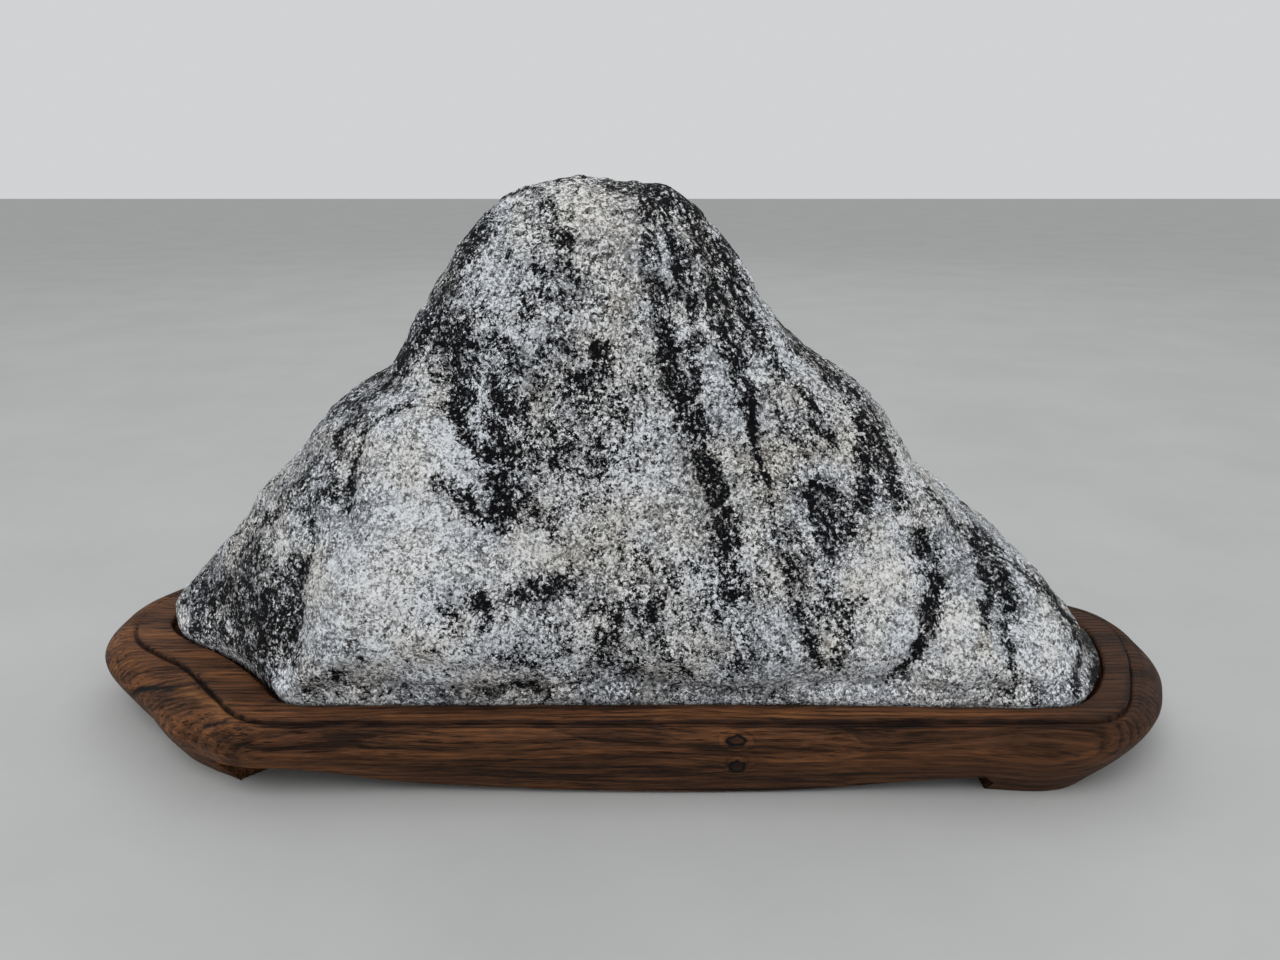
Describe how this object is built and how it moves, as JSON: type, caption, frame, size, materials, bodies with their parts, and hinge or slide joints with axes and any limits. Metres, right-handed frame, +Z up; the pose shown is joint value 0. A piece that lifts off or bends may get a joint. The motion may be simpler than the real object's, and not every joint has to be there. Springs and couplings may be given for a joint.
{
  "type": "scholar's rock on a carved stand",
  "caption": "Mountain-shaped display stone of banded gneiss, resting in the fitted seat of a low carved wooden stand with cut-out feet.",
  "frame": {"origin": "on the surface it stands on, under the middle of the stand's plan", "axes": "+X along the length, to the right seen from the display side; -Y towards the viewer on the display side; +Z up"},
  "size_m": [0.378, 0.1428, 0.1842],
  "materials": {
    "stone": "rough crystalline grain, white and grey with black mica bands",
    "stand_wood": "dark oiled hardwood, lightly brushed grain, satin"
  },
  "bodies": {
    "root": {"stone": "stone", "stand": "stand_wood"}
  },
  "joints": []
}
